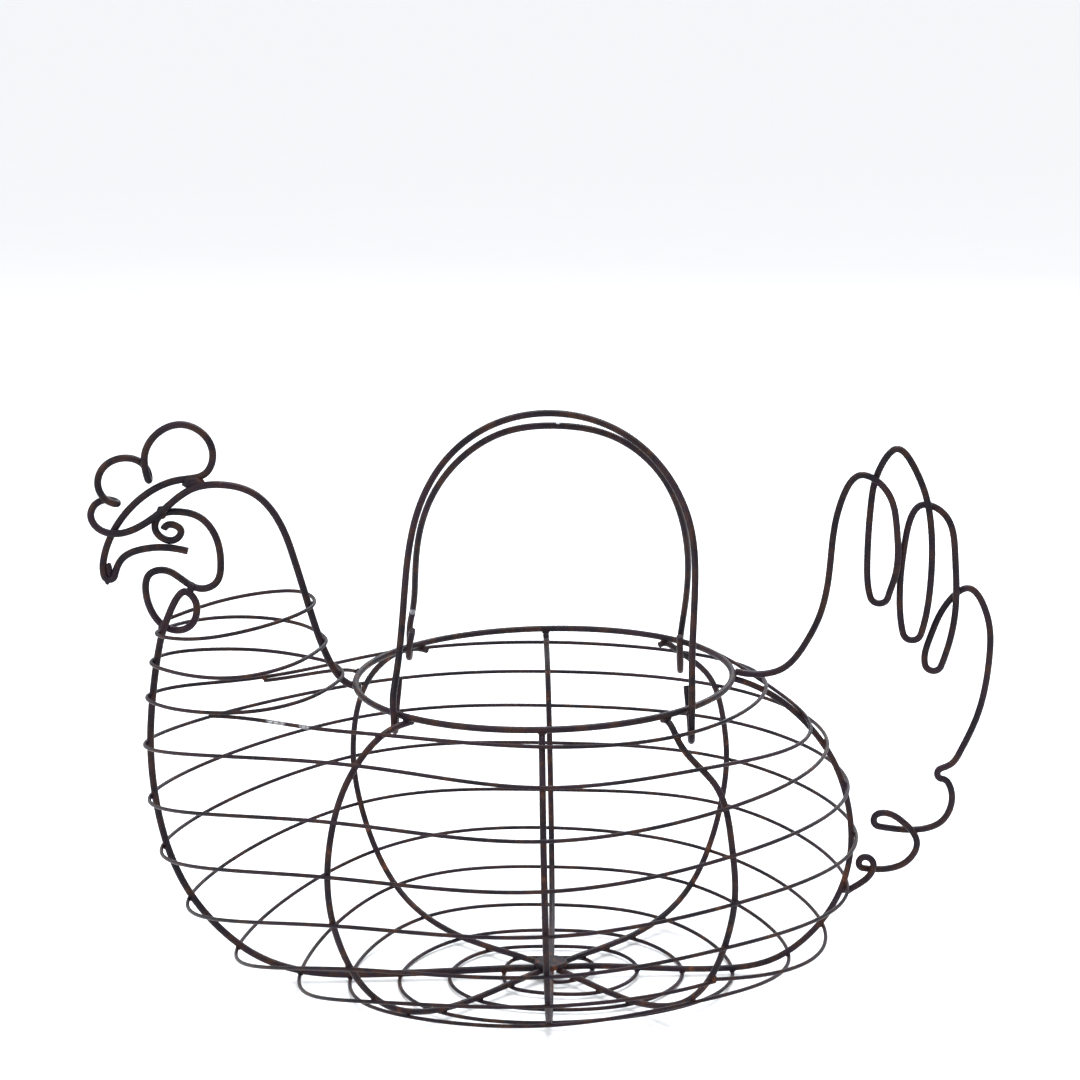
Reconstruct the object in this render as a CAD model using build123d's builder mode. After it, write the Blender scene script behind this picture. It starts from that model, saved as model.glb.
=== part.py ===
from build123d import *
import os
from math import cos, radians, sin, sqrt

# Hen-shaped egg basket bent and welded from round wire. Millimetres, +Z up, head towards -X,
# tail towards +X. Z = 0 is the surface the basket stands on, X = 0 the middle of its length.

# Wire diameters
RIM_WIRE = 2.7
RIB_WIRE = 2.6
HEAD_WIRE = 3.0
TAIL_WIRE = 2.8
HANDLE_WIRE = 2.8
WINDING_WIRE = 1.6
WELD_SINK = 0.08  # how deep two welded wires run into each other
LONGEST_STRETCH = 60.0  # longest stretch of wire that one pair of arcs follows
ARC_ERROR = 0.02  # how far the arcs may stray from it
STRAIGHT = 1e-7  # bend of a stretch that is taken as straight

# Rim, a round ring the ribs hang from
RIM_RADIUS = 77.5
RIM_HEIGHT = 132.2

# Button that covers the rib ends in the middle of the base
BUTTON_RADIUS = 7.0
BUTTON_THICKNESS = 1.9
HUB_RADIUS = 4.7  # the ribs stop this far from the middle
HUB_HEIGHT = 4.7  # wire centre at the rib ends

# Bail handles
HANDLE_SPAN = 117.0  # between the legs at the rim
HOOK_RADIUS = 5.1
HINGE_DEPTH = sqrt(RIM_RADIUS**2 - (HANDLE_SPAN / 2) ** 2)

os.makedirs("parts", exist_ok=True)


def upright(outline, azimuth, rim_azimuth=None):
    """Smooth curve through (distance from the middle, height) points, in one upright plane
    except that its first three points may stand at their own azimuth under the rim."""
    turns = [azimuth if rim_azimuth is None else rim_azimuth] * 3 + [azimuth] * (len(outline) - 3)
    return Spline(
        [(out * cos(radians(turn)), out * sin(radians(turn)), up)
         for (out, up), turn in zip(outline, turns)]
    )


def arc_pair(path, first, last):
    """Two arcs from one share of a path to another, tangent to it at both ends and to each other
    where they join."""
    start, end, leaving, arriving = path @ first, path @ last, path % first, path % last
    span, bend = end - start, 2 * (1 - leaving.dot(arriving))
    if bend < STRAIGHT:
        return [Line(start, end).edge()]
    along = span.dot(leaving + arriving)
    reach = (sqrt(along**2 + bend * span.dot(span)) - along) / bend
    joint = (start + end + (leaving - arriving) * reach) / 2
    return [
        Edge.make_tangent_arc(start, leaving, joint),
        Edge.make_tangent_arc(end, -arriving, joint).reversed(),
    ]


def bent_to(path, first=0.0, last=1.0):
    """The arcs that a wire is bent to, to follow a path. A stretch is halved until its pair of
    arcs stays on the path."""
    if (last - first) * path.length < LONGEST_STRETCH:
        arcs = arc_pair(path, first, last)
        spots = [path @ (first + (last - first) * quarter / 4) for quarter in (1, 2, 3)]
        if all(min(arc.distance_to(spot) for arc in arcs) < ARC_ERROR for spot in spots):
            return arcs
    middle = (first + last) / 2
    return bent_to(path, first, middle) + bent_to(path, middle, last)


def swept(label, path, diameter):
    """One round wire along a path, written as its own piece."""
    spine = Wire(bent_to(path))
    with BuildPart() as wire:
        with BuildSketch(Plane(origin=path @ 0, z_dir=path % 0)):
            Circle(diameter / 2)
        sweep(path=spine)
    wire.part.label = label
    export_step(wire.part, f"parts/{label}.step")
    return wire.part


# ---------------------------------------------------------------- rim and base button
with BuildPart() as rim_ring:
    with Locations((0, 0, RIM_HEIGHT)):
        Torus(RIM_RADIUS, RIM_WIRE / 2)
rim_ring.part.label = "rim_ring"
export_step(rim_ring.part, "parts/rim_ring.step")

button_base = HUB_HEIGHT + RIB_WIRE / 2 - WELD_SINK
with BuildPart() as centre_button:
    with BuildSketch(Plane.XY.offset(button_base)):
        Circle(BUTTON_RADIUS)
    extrude(amount=BUTTON_THICKNESS)
    fillet(centre_button.edges().sort_by(Axis.Z)[-1], radius=BUTTON_THICKNESS * 0.6)
centre_button.part.label = "centre_button"
export_step(centre_button.part, "parts/centre_button.step")

# ---------------------------------------------------------------- ribs
RIB_TOP = RIM_HEIGHT - (RIM_WIRE + RIB_WIRE) / 2 + WELD_SINK


def side_outline(reach, shoulder):
    """Rib from under the rim, over the shoulder to its widest reach, and in to the hub."""
    belly = reach - RIM_RADIUS
    return [
        (RIM_RADIUS - 3, RIB_TOP),
        (RIM_RADIUS, RIB_TOP),
        (RIM_RADIUS + 0.2 * belly, shoulder + 16),
        (RIM_RADIUS + 0.7 * belly, shoulder),
        (RIM_RADIUS + 0.95 * belly, shoulder - 22),
        (reach, 67.0),
        (0.95 * reach, 44.0),
        (0.86 * reach, 25.5),
        (0.74 * reach, 13.0),
        (0.58 * reach, 6.0),
        (0.30 * reach, 3.9),
        (HUB_RADIUS, HUB_HEIGHT),
    ]


# widest reach, azimuth of the belly, azimuth under the rim and shoulder height of the plain ribs
SIDE_RIBS = {
    "front_right": (110, -48, -51, 107),
    "front": (103, -90, -90, 106),
    "front_left": (119, -135, -133.5, 113),
    "back_left": (124, 135, 133.5, 112),
    "back": (110, 90, 90, 108),
    "back_right": (116, 47, 48.5, 109.5),
}
TAIL_RIB = [
    (RIM_RADIUS, RIB_TOP),
    (91, 124.0),
    (105, 113.0),
    (118, 95.5),
    (125.3, 73.5),
    (126, 52.0),
    (120.5, 33.5),
    (108.2, 16.7),
    (92, 6.0),
    (72, 2.9),
    (40, 3.8),
    (HUB_RADIUS, HUB_HEIGHT - 0.04),
]
BREAST = [
    (158, 148.0),
    (162, 126.0),
    (164, 104.0),
    (163, 82.0),
    (158.5, 59.0),
    (151, 41.0),
    (139, 24.7),
    (123, 11.7),
    (102, 4.5),
    (78, 3.0),
    (40, 3.8),
    (HUB_RADIUS, HUB_HEIGHT - (HEAD_WIRE - RIB_WIRE) / 2),
]
ribs = {
    name: upright(side_outline(reach, shoulder), azimuth, rim_azimuth)
    for name, (reach, azimuth, rim_azimuth, shoulder) in SIDE_RIBS.items()
}
ribs["tail"] = upright(TAIL_RIB, 0)
ribs["breast"] = upright(BREAST, 180)

for name in (*SIDE_RIBS, "tail"):
    swept(f"{name}_rib", ribs[name], RIB_WIRE)

# ---------------------------------------------------------------- head, face and tail outlines
# x, y and height along each wire; where a wire crosses itself the two passes keep apart in y
FOLD = 2.1  # centre-line radius of the tightest folds


def flat_bend(x, up, radius, heading, turn, depths=(0, 0)):
    """Half-circle bend in the upright plane: its middle points to heading, in degrees, and the
    wire goes round it with turn = 1 or against it with -1, shifting from one depth to another."""
    steps = [(-90 + 45 * step) * turn for step in range(5)]
    first, last = depths
    return [
        (
            x + radius * cos(radians(heading + step)),
            first + (last - first) * number / 4,
            up + radius * sin(radians(heading + step)),
        )
        for number, step in enumerate(steps)
    ]


def depth_fold(x, up, heading):
    """Fold pointing to heading whose two passes lie one in front of the other."""
    turn = radians(heading)
    return [
        (x + FOLD * cos(side) * cos(turn), FOLD * sin(side), up + FOLD * cos(side) * sin(turn))
        for side in (radians(angle) for angle in (90, 45, 0, -45, -90))
    ]


HEAD = [
    (-75.5, 0, 129.1),
    (-81, 0, 130.6),
    (-88.5, 0, 141),
    (-95, 0, 161),
    (-101, 0, 184),
    (-107.5, 0, 201.5),
    (-116.5, 0, 211.5),
    (-128, -0.8, 215.3),
    (-141, -1.3, 214),
    (-152, -1.5, 206.5),
    (-162, -1.6, 199.5),
    (-173, -1.6, 196.1),
    (-180.5, -1.0, 198.6),
    (-183.1, 0, 203.8),
    (-180.5, 1.5, 208.4),
    *depth_fold(-173.9, 209.1, -20),
    (-179.2, -1.0, 215.5),
    (-177.3, 0, 222.7),
    (-170, 0.6, 226.8),
    (-162, 1.7, 225),
    *depth_fold(-158.9, 219.8, -80),
    (-159.5, -1.3, 228.5),
    (-154, 0, 237),
    (-144, 0.3, 240.3),
    (-135, 0.6, 235.5),
    (-132.2, 1.0, 227),
    (-135.6, 1.4, 219.8),
    (-146, 1.7, 217.3),
    (-158, 1.7, 213),
    (-168, 1.7, 205),
    (-175, 1.7, 195.5),
    (-178.9, 1.0, 185.5),
    *flat_bend(-176.9, 178.9, 2.3, 268, 1),
    (-171.3, 0, 185.2),
    (-162, -0.6, 189.3),
    (-153, -1.0, 189.8),
    (-144, -1.0, 188.1),
]
FACE = [
    (-153.6, 0, 197.3),
    (-149.6, 0, 199),
    (-146.6, 0, 196.5),
    (-149, 0, 192.9),
    (-154, 0, 193.4),
    (-157.2, 0.5, 197.5),
    (-155.3, 1.2, 202.4),
    (-147.5, 1.0, 204.2),
    (-138.5, 0, 201.8),
    (-132.3, 0, 193),
    (-131, 0, 183),
    (-133.5, 0, 174.2),
    (-139.5, 0.5, 171.9),
    (-147, 0.8, 175.6),
    (-154.5, 0.4, 180),
    (-160.3, 0, 178.6),
    (-162.4, 0.4, 172),
    (-160.6, 1.4, 162.5),
    (-156.4, 2.0, 156.4),
    (-150.5, 1.6, 154.2),
    (-144.7, 0.8, 156.4),
    (-141.8, 0, 162.5),
    (-143, -1.0, 168.8),
    (-146.2, -1.3, 171.2),
    (-149.6, -1.4, 168.4),
    (-153.2, -1.7, 161.5),
    (-155.7, -1.3, 155.6),
]
FEATHERS = [
    (78.8, 0, 132.6),
    (88, 0, 131.2),
    (98, 0, 133.3),
    (107, 0, 143),
    (114, 0.3, 157),
    (118, 0.5, 179),
    (122.6, 0.3, 204),
    (130, -0.8, 214),
    (139, -1.7, 209.3),
    (144.6, -1.7, 192),
    (144, -1.7, 172),
    *flat_bend(137.7, 164, 3.8, 270, -1, (-1.2, 1.2)),
    (133, 1.7, 177),
    (134.4, 1.7, 201),
    (138.6, 1.2, 217.5),
    (144.7, 0, 224.3),
    (152, -1.2, 216),
    (158.2, -1.7, 195),
    (158.3, -1.7, 167),
    *flat_bend(151.2, 148.2, 3.8, 268, -1, (-1.2, 1.2)),
    (146.3, 1.7, 162),
    (148.3, 1.7, 185),
    (156, 1.6, 200.8),
    (163, 0, 198),
    (168.3, -1.7, 181),
    (168.2, -1.7, 153),
    *flat_bend(160, 134.6, 3.4, 265, -1, (-1.2, 1.2)),
    (158.6, 1.4, 144.5),
    (165.5, 1.7, 159),
    (174.3, 1.0, 165.6),
    (181.3, 0, 156),
    (183.1, 0, 138),
    (178.4, 0, 112),
    (171, 0, 95.5),
    (168.3, 0, 91.5),
    *flat_bend(164.6, 87, 2.5, 185, 1),
    (167.3, 0, 81.5),
    (168.2, 0.4, 74.5),
    (164, 1.2, 65.7),
    (152, 1.7, 62.2),
    *flat_bend(139.2, 67.3, 3.4, 180, -1, (1.0, -1.0)),
    (148, -1.7, 66.6),
    (153.7, -1.4, 57.5),
    (150, -0.4, 49.4),
    (138.5, 1.4, 45.2),
    *flat_bend(132.6, 48.5, 2.9, 180, -1, (1.6, -0.6)),
    (135.4, -1.3, 49.4),
    (135.2, -1.6, 45.8),
    (131, -1.0, 40.6),
    (124.5, 0, 36),
]

throat = Spline(FACE + [(-out, 0, up) for out, up in BREAST])
swept("head_wire", Spline(HEAD), HEAD_WIRE)
swept("face_and_breast_wire", throat, HEAD_WIRE)
swept("tail_feather_wire", Spline(FEATHERS), TAIL_WIRE)

# ---------------------------------------------------------------- winding wires
DIRECTIONS = {name: azimuth for name, (reach, azimuth, *others) in SIDE_RIBS.items()}
DIRECTIONS.update(tail=0, breast=180)
RIB_WIRES = {name: RIB_WIRE for name in DIRECTIONS}
RIB_WIRES["breast"] = HEAD_WIRE


def on_rib(name, along):
    """Centre of the winding wire that is welded to a rib this far down from the rib's top."""
    turn = radians(DIRECTIONS[name])
    outward = Vector(cos(turn), sin(turn))
    spot = ribs[name].position_at(along, position_mode=PositionMode.LENGTH)
    slope = ribs[name].tangent_at(along, position_mode=PositionMode.LENGTH)
    normal = Vector(0, 0, 1) * slope.dot(outward) - outward * slope.Z
    return spot + normal * ((RIB_WIRES[name] + WINDING_WIRE) / 2 - WELD_SINK)


NECK = [
    (-153.4, 2.25, 159.2),
    (-142, 13.4, 161),
    (-125, 25.5, 162.5),
    (-106, 24.5, 164.4),
    (-96.5, 13, 165.2),
    (-93.6, 0, 164.7),
    (-98.5, -12, 163.6),
    (-112, -22, 161.2),
    (-131, -25, 158),
    (-149, -15, 155),
    (-158.8, -0.8, 153.7),
    (-154, 14.5, 153),
    (-143, 26.5, 152.4),
    (-124, 32.5, 151.4),
    (-103, 25, 150),
    (-92.5, 10, 149.4),
    (-89.2, 0, 149.2),
    (-92.2, -16, 148.4),
    (-102, -32, 147),
    (-119, -39, 145),
    (-138, -31, 143.2),
    (-154, -15, 142),
    (-161.8, 0, 141.3),
    (-157.5, 14, 140.8),
    (-142, 25, 139.6),
    (-121, 27, 138.4),
    (-98, 18.5, 137),
    (-85.8, 7, 136.2),
    (-83.1, 0, 135.7),
    (-84.5, -18, 135.7),
    (-94, -35, 134.4),
    (-109, -43, 132.6),
    (-127, -40, 130.5),
    (-145, -28, 128.4),
    (-158.5, -13, 127),
]
# where the shoulder wire crosses the ribs, measured down each rib from its top
SHOULDER = {
    "back_left": 25,
    "back": 14.5,
    "back_right": 21,
    "tail": 14,
    "front_right": 11,
    "front": 8,
    "front_left": 18,
}
# hand-wound spacing of the turns below it: the first from the top of the rib, then gap by gap
TURN_GAPS = {
    "tail": (32, 16, 20, 22, 22, 20, 19, 24, 21, 19, 19),
    "front_right": (28, 17, 18, 19, 20, 17, 17, 20, 20, 18, 16),
    "front": (25, 20, 19, 18, 19, 17, 20, 19, 17, 16, 12),
    "front_left": (33, 23, 21, 20, 21, 21, 21, 20, 20, 18),
    "breast": (42, 23, 22, 25, 29, 28, 21, 21, 21, 23),
    "back_left": (48, 19, 18, 21, 22, 18, 21, 23, 19, 17),
    "back": (39, 18, 18, 21, 17, 18, 21, 21, 19, 15),
    "back_right": (45, 18, 18, 20, 21, 17, 22, 20, 17, 15),
}
BELLY_TURNS = 5
BASE_TURNS = 5


def crossing(name, turn, lower=0):
    """Where the winding passes a rib on this turn; lower slides it down the rib."""
    return on_rib(name, sum(TURN_GAPS[name][:turn]) + lower)


def beside_rim(azimuth):
    """Centre of a winding wire welded against the outside of the rim."""
    reach = RIM_RADIUS + (RIM_WIRE + WINDING_WIRE) / 2 - WELD_SINK
    return (reach * cos(radians(azimuth)), reach * sin(radians(azimuth)), RIM_HEIGHT)


def swept_turns(label, path, cuts):
    """One long wire written as several pieces that meet end to end."""
    marks = [0, *[path.param_at_point(spot) for spot in cuts], 1]
    for number, (start, end) in enumerate(zip(marks, marks[1:]), 1):
        swept(f"{label}_{number}", path.trim(start, end), WINDING_WIRE)


neck_base = on_rib("breast", 22)
neck_and_shoulder = Spline(
    [
        *NECK,
        neck_base,
        (-158, 12, 126.4),
        (-132, 23, 126.2),
        (-106, 37, 126),
        *[on_rib(name, along) for name, along in SHOULDER.items()],
        (-92, -52.5, 127.4),
        (-113, -43.2, 128.2),
        (-134, -33.4, 127.4),
    ]
)
neck_end = neck_and_shoulder.param_at_point(neck_base)
swept("neck_winding", neck_and_shoulder.trim(0, neck_end), WINDING_WIRE)
swept("shoulder_winding", neck_and_shoulder.trim(neck_end, 1), WINDING_WIRE)
tie = Spline((-119, 28, 124.7), (-103, 27, 127), (-87, 21.5, 130.4), beside_rim(171))
swept("neck_tie", tie, WINDING_WIRE)

belly = Spline(
    [
        beside_rim(36.5),
        (70.6, 40.5, 130.7),
        (78.5, 31.5, 128.6),
        (87.5, 21.5, 124.8),
        (98, 11, 119.5),
        *[crossing(name, turn) for turn in range(1, BELLY_TURNS + 1) for name in TURN_GAPS],
        crossing("tail", BELLY_TURNS + 1),
        crossing("front_right", BELLY_TURNS + 1),
    ]
)
swept_turns("belly_winding", belly, [crossing("tail", turn) for turn in range(2, BELLY_TURNS + 1)])

first, last = BELLY_TURNS + 1, BELLY_TURNS + BASE_TURNS
base = Spline(
    [
        crossing("front_right", first, WINDING_WIRE - WELD_SINK),
        *[crossing(name, first) for name in list(TURN_GAPS)[2:]],
        *[crossing(name, turn) for turn in range(first + 1, last + 1) for name in TURN_GAPS],
        *[crossing(name, last + 1) for name in ("tail", "front_right", "front")],
    ]
)
swept_turns("base_winding", base, [crossing("tail", turn) for turn in range(first + 1, last + 1)])

# ---------------------------------------------------------------- bail handles
HOOK_LEAN = 16.0  # the hooks and the foot of each leg lean in over the basket by this angle
LEG_BEND = 8.0  # from here up the leg, the arch leans in further


def bail(label, side, arch_lean, arch, left_hook, right_hook):
    """Handle arch through points given as x and distance up the leg from the rim, ending in a
    hook round the rim at each leg. A hook has its x and lowest point, then those of its tip."""

    def placed(x, out, up):
        steps = [(out, HOOK_LEAN + 90), (min(up, LEG_BEND), HOOK_LEAN)]
        steps.append((max(0, up - LEG_BEND), arch_lean))
        inward = sum(length * sin(radians(lean)) for length, lean in steps)
        rise = sum(length * cos(radians(lean)) for length, lean in steps)
        return (x, side * (HINGE_DEPTH - inward), RIM_HEIGHT + rise)

    def hook(lowest, tip):
        (x, low), (tip_x, top) = lowest, tip
        bend = [
            (HOOK_RADIUS * cos(radians(turn)), HOOK_RADIUS * sin(radians(turn)))
            for turn in (0, 45, 90, 135, 180)
        ]
        start = low + HOOK_RADIUS
        free_end = [placed(tip_x, HOOK_RADIUS, top)]
        free_end.append(placed((x + tip_x) / 2, HOOK_RADIUS, (start + top) / 2))
        return [*free_end, *[placed(x, out, start - down) for out, down in bend]]

    legs = [placed(x, -HOOK_RADIUS, up) for x, up in arch]
    path = Spline([*hook(*left_hook), *legs, *reversed(hook(*right_hook))])
    swept(label, path, HANDLE_WIRE)


FRONT_ARCH = [
    (-58.6, 4),
    (-57.4, 14),
    (-54, 47.5),
    (-49.8, 77.5),
    (-40.2, 99),
    (-25.3, 113.5),
    (-5.5, 121),
    (17, 120),
    (36.5, 111),
    (52, 94),
    (60.2, 73),
    (61.2, 48.5),
    (59, 14),
    (58.7, 1),
]
BACK_ARCH = [
    (-58.3, 6),
    (-56.5, 16),
    (-53.6, 43.5),
    (-46.4, 76.5),
    (-31.4, 101),
    (-13, 114),
    (8, 116.5),
    (27, 112),
    (44.5, 97.5),
    (56.5, 73),
    (61.2, 42),
    (59.8, 12),
    (58.6, 2),
]
FRONT_HOOKS = ((-58.3, -6.9), (-56.8, 13.9)), ((58.3, -13), (57.2, 8.5))
BACK_HOOKS = ((-58.6, -4.5), (-56.4, 11.8)), ((57.9, -13.6), (57.6, 5.6))
bail("front_handle", -1, 27.5, FRONT_ARCH, *FRONT_HOOKS)
bail("back_handle", 1, 28.7, BACK_ARCH, *BACK_HOOKS)
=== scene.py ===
from math import atan, ceil, cos, pi, radians, sin

import bmesh
import bpy
from mathutils import Matrix, Vector, noise
from mathutils.bvhtree import BVHTree


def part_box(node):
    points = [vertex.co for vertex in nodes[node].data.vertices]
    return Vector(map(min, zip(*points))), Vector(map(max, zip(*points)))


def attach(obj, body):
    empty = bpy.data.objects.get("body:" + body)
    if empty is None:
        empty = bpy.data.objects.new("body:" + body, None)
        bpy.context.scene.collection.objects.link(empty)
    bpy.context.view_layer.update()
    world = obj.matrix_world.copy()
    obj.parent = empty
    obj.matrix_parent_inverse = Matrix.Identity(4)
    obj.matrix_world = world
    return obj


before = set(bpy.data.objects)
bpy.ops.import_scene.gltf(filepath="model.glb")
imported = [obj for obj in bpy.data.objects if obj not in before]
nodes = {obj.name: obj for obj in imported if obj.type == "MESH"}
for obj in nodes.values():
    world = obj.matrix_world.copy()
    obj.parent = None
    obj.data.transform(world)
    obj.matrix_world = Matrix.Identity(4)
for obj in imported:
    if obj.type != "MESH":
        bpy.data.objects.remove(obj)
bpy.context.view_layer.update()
MM = 0.001

# ---------------------------------------------------------------- pieces of the frame
RIBS = ["front_right_rib", "front_rib", "front_left_rib", "back_left_rib",
        "back_rib", "back_right_rib", "tail_rib"]
HEAD = "head_wire"
BREAST = "face_and_breast_wire"
TAIL = "tail_feather_wire"
RIM = "rim_ring"
BELLY = [f"belly_winding_{turn}" for turn in range(1, 6)]
BASE = [f"base_winding_{turn}" for turn in range(1, 6)]
NECK = ["neck_winding", "shoulder_winding", "neck_tie"]
HANDLES = ["front_handle", "back_handle"]


# ---------------------------------------------------------------- materials
class Graph:
    """Short way to add and join the nodes of one material."""

    def __init__(self, name):
        self.material = bpy.data.materials.new(name)
        self.material.use_nodes = True
        self.tree = self.material.node_tree
        self.shader = self.tree.nodes["Principled BSDF"]
        self.place = self.add("ShaderNodeTexCoord").outputs["Object"]

    def add(self, kind, inputs=(), **settings):
        node = self.tree.nodes.new(kind)
        for key, value in settings.items():
            setattr(node, key, value)
        for key, value in dict(inputs).items():
            self.set(node.inputs[key], value)
        return node

    def set(self, socket, value):
        if isinstance(value, bpy.types.NodeSocket):
            self.tree.links.new(value, socket)
        else:
            socket.default_value = value

    def cells(self, size, detail, roughness=0.6, distortion=0.0):
        """Noise with features of about this size in millimetres, from 0 to 1."""
        return self.add("ShaderNodeTexNoise", {
            "Vector": self.place, "Scale": 1 / (size * MM), "Detail": detail,
            "Roughness": roughness, "Distortion": distortion}).outputs["Fac"]

    def span(self, value, low, high, to_low=0.0, to_high=1.0):
        """Stretches low..high of a value to to_low..to_high, with soft ends."""
        return self.add("ShaderNodeMapRange", {
            "Value": value, "From Min": low, "From Max": high,
            "To Min": to_low, "To Max": to_high}, interpolation_type="SMOOTHSTEP").outputs["Result"]

    def math(self, operation, first, second):
        return self.add("ShaderNodeMath", {0: first, 1: second}, operation=operation).outputs[0]

    def mix(self, share, first, second):
        node = self.add("ShaderNodeMix", data_type="RGBA")
        self.set(node.inputs["Factor"], share)
        self.set(node.inputs["A"], first)
        self.set(node.inputs["B"], second)
        return node.outputs["Result"]

    def near(self, spot, radius):
        """1 at a spot given in metres, falling to 0 at this radius."""
        away = self.add("ShaderNodeVectorMath", {0: self.place, 1: spot}, operation="DISTANCE")
        return self.span(away.outputs["Value"], 0.55 * radius, radius, 1, 0)


BLACK = (0.0075, 0.0052, 0.0085, 1)
BROWN = (0.038, 0.016, 0.0105, 1)
PLUM = (0.020, 0.0105, 0.017, 1)
RUST = (0.150, 0.050, 0.022, 1)
GREY = (0.130, 0.120, 0.130, 1)
BARE = (0.36, 0.36, 0.38, 1)


def patina(name, rusty, grey, rough, bare_spots=()):
    """Baked-on dark finish of iron wire: black over brown, rust where it has rubbed thin, fine
    pale speckle, and a rough coat. Bare spots show the metal."""
    g = Graph(name)
    broad, patch, grain = g.cells(34, 3), g.cells(7, 6, 0.62, 0.6), g.cells(0.9, 5, 0.7)
    colour = g.mix(g.span(broad, 0.40, 0.62), BLACK, PLUM)
    colour = g.mix(g.span(patch, 0.44, 0.66, 0, 0.9), colour, BROWN)
    rub = g.math("MULTIPLY", g.span(patch, 0.70 - rusty, 0.86 - rusty), g.span(grain, 0.36, 0.60))
    colour = g.mix(rub, colour, RUST)
    speck = g.math("MULTIPLY", g.span(grain, 0.60, 0.74), g.span(g.cells(4, 2), 0.40, 0.62))
    colour = g.mix(g.math("MULTIPLY", speck, grey), colour, GREY)
    roughness = g.span(grain, 0.30, 0.75, rough - 0.12, rough + 0.16)
    metal = g.math("MULTIPLY", speck, 0.35)
    for spot, radius in bare_spots:
        worn = g.math("MULTIPLY", g.near(spot, radius), g.span(grain, 0.36, 0.56, 0.1, 0.9))
        colour = g.mix(worn, colour, BARE)
        metal = g.math("MAXIMUM", metal, worn)
        roughness = g.math("SUBTRACT", roughness, g.math("MULTIPLY", worn, 0.18))
    g.set(g.shader.inputs["Base Color"], colour)
    g.set(g.shader.inputs["Roughness"], roughness)
    g.set(g.shader.inputs["Metallic"], metal)
    g.shader.inputs["IOR"].default_value = 1.24
    lumps = g.math("ADD", g.math("MULTIPLY", patch, 0.6), g.math("MULTIPLY", grain, 0.4))
    bump = g.add("ShaderNodeBump", {"Height": lumps, "Distance": 0.22 * MM, "Strength": 0.55})
    g.set(g.shader.inputs["Normal"], bump.outputs["Normal"])
    return g.material


def dress(names, material):
    for name in names:
        mesh = nodes[name].data
        mesh.materials.clear()
        mesh.materials.append(material)


# where the finish is chipped off: a place in metres and how far the bare metal reaches
HANDLE_CHIPS = [((-0.0565, 0.0483, 0.1483), 1.9 * MM), ((0.008, 0.0006, 0.2382), 1.4 * MM)]
WINDING_SCRATCHES = [((-0.106, -0.047, 0.1288), 5.0 * MM), ((-0.094, -0.052, 0.1282), 3.0 * MM)]

dress([RIM], patina("rim_patina", 0.02, 0.5, 0.44))
dress(RIBS, patina("rib_patina", 0.13, 1.0, 0.46))
dress([HEAD, BREAST, TAIL], patina("figure_patina", 0.03, 0.5, 0.42))
dress(NECK + BELLY + BASE, patina("winding_patina", 0.07, 0.7, 0.42, WINDING_SCRATCHES))
dress(["centre_button"], patina("button_patina", 0.20, 1.0, 0.50))
dress(HANDLES, patina("handle_patina", 0.05, 0.6, 0.40, HANDLE_CHIPS))
weld_finish = patina("weld_patina", 0.16, 1.0, 0.50)

# ---------------------------------------------------------------- welds
BVH = {}


def surface(name):
    if name not in BVH:
        mesh = nodes[name].data
        BVH[name] = BVHTree.FromPolygons([v.co for v in mesh.vertices],
                                         [p.vertices for p in mesh.polygons])
    return BVH[name]


def touching_spots(name, other, reach=0.30 * MM, step=0.5 * MM, apart=4 * MM):
    """Where one wire's surface comes up against another's, and which way the other one faces."""
    low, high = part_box(other)
    margin = Vector((reach, reach, reach)) * 2
    low, high = low - margin, high + margin
    mesh, tree = nodes[name].data, surface(other)
    groups = []
    for edge in mesh.edges:
        start, end = (mesh.vertices[i].co for i in edge.vertices)
        count = max(1, ceil((end - start).length / step))
        for number in range(count + 1):
            spot = start.lerp(end, number / count)
            if any(spot[i] < low[i] or spot[i] > high[i] for i in range(3)):
                continue
            near, normal, _, _ = tree.find_nearest(spot, reach)
            if near is None:
                continue
            for group in groups:
                if (group[0][0] - near).length < apart:
                    group.append((near, normal))
                    break
            else:
                groups.append([(near, normal)])
    spots = []
    for group in groups:
        middle = sum((near for near, _ in group), Vector()) / len(group)
        facing = sum((normal for _, normal in group), Vector()).normalized()
        spots.append((middle, facing))
    return spots


def add_blob(shape, spot, facing, along, size, seed):
    """Lumpy bead of weld metal: size is its half-length, half-width and half-height."""
    up = facing.normalized()
    side = up.cross(along).normalized()
    front = side.cross(up)
    turn = Matrix((front, side, up)).transposed().to_4x4()
    verts = bmesh.ops.create_icosphere(shape, subdivisions=3, radius=1)["verts"]
    for vert in verts:
        wobble = noise.noise(vert.co * 1.3 + Vector((seed, 0.7 * seed, 3.1)))
        ripple = noise.noise(vert.co * 3.4 + Vector((2.3, seed, 0.4 * seed)))
        swell = 1 + 0.34 * wobble + 0.12 * ripple
        local = Vector([swell * c * s for c, s in zip(vert.co, size)])
        vert.co = Matrix.Translation(spot) @ turn @ local
    return verts


def weld_object(name, spots, size, body="basket"):
    """Beads at these places, each with the way it faces."""
    shape = bmesh.new()
    seed = 0.0
    for spot, facing in spots:
        seed += 1.37
        along = Vector((-spot.y, spot.x, 0)).normalized()
        if abs(along.dot(facing)) > 0.9:
            along = Vector((0, 0, 1))
        grow = 0.9 + 0.25 * noise.noise(Vector((seed, 5.0, 1.0)))
        add_blob(shape, spot, facing, along, [grow * s for s in size], seed)
    for face in shape.faces:
        face.smooth = True
    mesh = bpy.data.meshes.new(name)
    shape.to_mesh(mesh)
    shape.free()
    mesh.materials.append(weld_finish)
    piece = bpy.data.objects.new(name, mesh)
    bpy.context.scene.collection.objects.link(piece)
    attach(piece, body)
    return piece


def crossings(thin_names, thick_names):
    return [spot for thin in thin_names for thick in thick_names
            for spot in touching_spots(thin, thick)]


def lowest_first(spots):
    return sorted(spots, key=lambda spot: spot[0].z)


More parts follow.
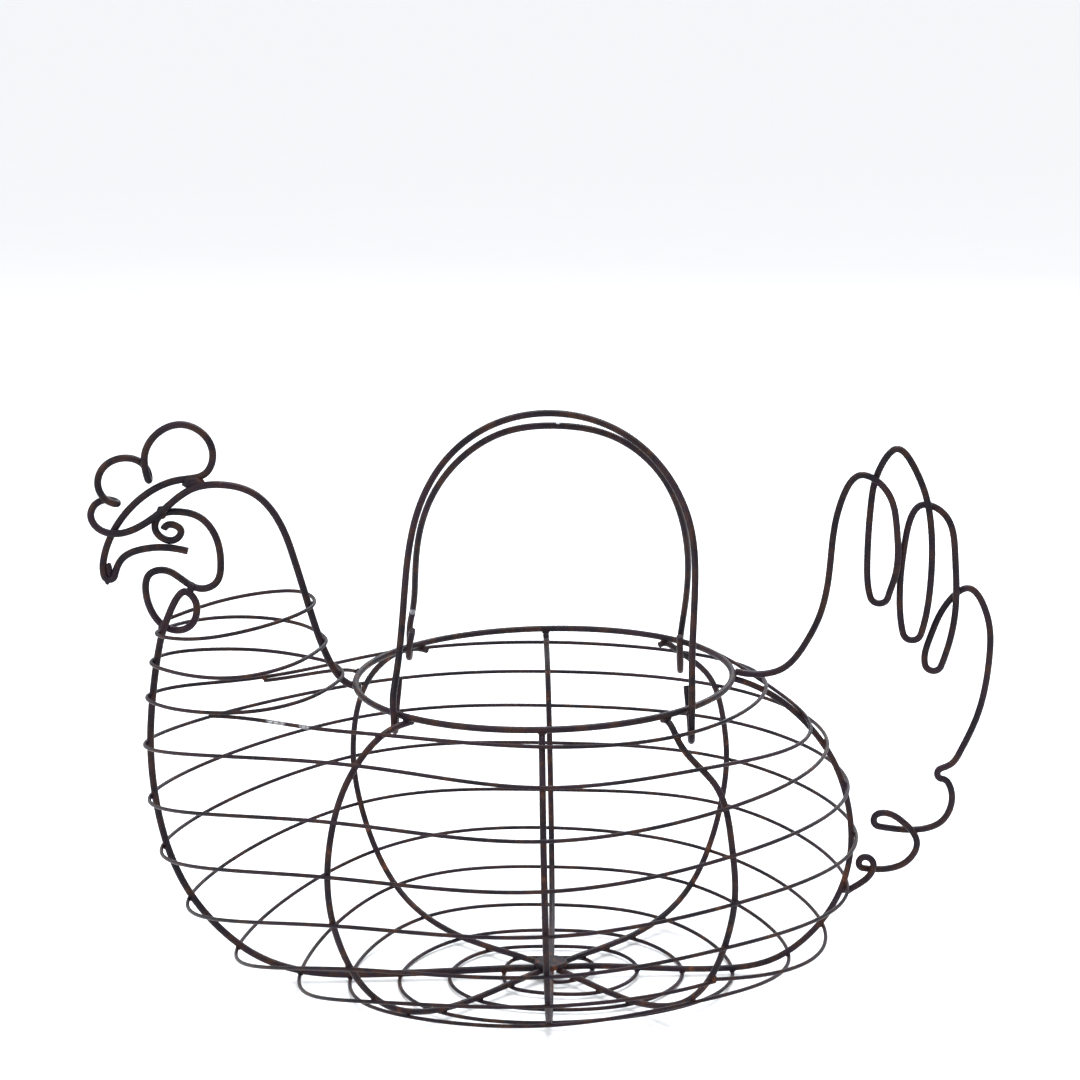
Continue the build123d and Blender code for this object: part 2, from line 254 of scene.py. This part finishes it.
UPRIGHTS = RIBS + [BREAST]
THIN_BEAD = (1.15 * MM, 1.35 * MM, 0.85 * MM)
THICK_BEAD = (1.9 * MM, 1.6 * MM, 1.2 * MM)
BROW_BEAD = (2.6 * MM, 2.2 * MM, 2.0 * MM)
weld_object("belly_welds", crossings(BELLY, UPRIGHTS), THIN_BEAD)
weld_object("base_welds", crossings(BASE, UPRIGHTS), THIN_BEAD)
weld_object("shoulder_welds", crossings(["shoulder_winding"], UPRIGHTS), THIN_BEAD)
weld_object("neck_welds", crossings(["neck_winding"], [HEAD, BREAST])
            + crossings(["neck_tie"], ["shoulder_winding"]), THIN_BEAD)
weld_object("lap_welds", crossings(["neck_tie", "belly_winding_1"], [RIM])
            + crossings(["base_winding_1"], ["belly_winding_5"]), THIN_BEAD)
weld_object("rim_welds", crossings(RIBS + [HEAD, TAIL], [RIM]), THICK_BEAD)
weld_object("hub_welds", crossings(UPRIGHTS, ["centre_button"]), THICK_BEAD)
weld_object("tail_weld", crossings([TAIL], ["tail_rib"]), THICK_BEAD)
weld_object("brow_weld", lowest_first(crossings([BREAST], [HEAD]))[-1:], BROW_BEAD)
# tacks between two passes of the same wire, and the filled point of the beak: place, then
# half-height, half-width and half-depth
AHEAD = Vector((0, -1, 0))
TACKS = {
    "comb_tack": ((-140.6, 0.1, 216.2), (2.3, 4.6, 1.7)),
    "wattle_tack": ((-143.7, -0.3, 172.8), (2.1, 1.6, 1.5)),
    "throat_tack": ((-156.0, 0.2, 156.2), (1.9, 2.2, 1.8)),
    "beak_fill": ((-176.9, 0.0, 180.6), (2.9, 1.3, 1.3)),
    "beak_point": ((-178.0, 0.0, 176.4), (1.9, 1.1, 1.2)),
}
for name, (place, size) in TACKS.items():
    weld_object(name, [(Vector(place) * MM, AHEAD)], [length * MM for length in size])

# ---------------------------------------------------------------- floor and light
FLOOR_WHITE = (0.93, 0.93, 0.94, 1)
FLOOR_PALE = (0.95, 0.95, 0.95, 1)
FLOOR_RADIUS = 30.0
FLOOR_RINGS = 12


def floor_piece(radius, rings, sides=96):
    """Pale round floor, in rings that get wider outwards."""
    shape = bmesh.new()
    middle = shape.verts.new((0, 0, 0))
    loops = []
    for ring in range(1, rings + 1):
        reach = radius * (ring / rings) ** 2
        turns = [2 * pi * side / sides for side in range(sides)]
        loops.append([shape.verts.new((reach * cos(t), reach * sin(t), 0)) for t in turns])
    for side in range(sides):
        shape.faces.new((middle, loops[0][side], loops[0][(side + 1) % sides]))
        for inner, outer in zip(loops, loops[1:]):
            shape.faces.new((inner[side], outer[side], outer[(side + 1) % sides],
                             inner[(side + 1) % sides]))
    mesh = bpy.data.meshes.new("floor")
    shape.to_mesh(mesh)
    shape.free()
    g = Graph("floor_white")
    g.set(g.shader.inputs["Base Color"], g.mix(g.cells(60, 3), FLOOR_WHITE, FLOOR_PALE))
    g.shader.inputs["Roughness"].default_value = 0.9
    g.shader.inputs["Specular IOR Level"].default_value = 0.1
    mesh.materials.append(g.material)
    piece = bpy.data.objects.new("floor", mesh)
    bpy.context.scene.collection.objects.link(piece)
    return piece


floor_piece(FLOOR_RADIUS, FLOOR_RINGS)

world = bpy.data.worlds.new("studio")
world.use_nodes = True
backdrop = world.node_tree.nodes["Background"].inputs
backdrop["Color"].default_value = (0.97, 0.985, 1.0, 1)
backdrop["Strength"].default_value = 1.0
bpy.context.scene.world = world
bpy.context.scene.view_settings.view_transform = "Standard"


def softbox(name, place, target, size, power, colour):
    data = bpy.data.lights.new(name, "AREA")
    data.shape = "RECTANGLE"
    data.size, data.size_y = size
    data.energy = power
    data.color = colour
    lamp = bpy.data.objects.new(name, data)
    lamp.location = place
    lamp.rotation_euler = (Vector(target) - Vector(place)).to_track_quat("-Z", "Y").to_euler()
    bpy.context.scene.collection.objects.link(lamp)


centre = (0, 0, 0.12)
softbox("overhead", (0.1, 0.1, 1.3), centre, (0.9, 0.5), 12, (0.90, 0.94, 1.0))
softbox("key", (-1.0, -0.9, 0.9), centre, (0.5, 0.5), 6, (1.0, 0.97, 0.94))
softbox("rear", (0.5, 1.3, 1.2), centre, (1.0, 0.3), 16, (0.86, 0.93, 1.0))

# ---------------------------------------------------------------- camera
AZIMUTH, ELEVATION, ROLL = radians(1.0), radians(12.7), radians(-1.36)
DISTANCE = 1.124
AIM = Vector((-0.0003, 0, 0.1896))
FIELD = 2 * atan(540 / 2759)

back = Vector((sin(AZIMUTH) * cos(ELEVATION), -cos(AZIMUTH) * cos(ELEVATION), sin(ELEVATION)))
level = Vector((cos(AZIMUTH), sin(AZIMUTH), 0))
upward = back.cross(level)
right = cos(ROLL) * level + sin(ROLL) * upward
upward = cos(ROLL) * upward - sin(ROLL) * level
camera_data = bpy.data.cameras.new("camera")
camera_data.angle = FIELD
camera_data.clip_start = 0.01
camera = bpy.data.objects.new("camera", camera_data)
camera.matrix_world = (Matrix.Translation(AIM + DISTANCE * back)
                       @ Matrix((right, upward, back)).transposed().to_4x4())
bpy.context.scene.collection.objects.link(camera)
bpy.context.scene.camera = camera
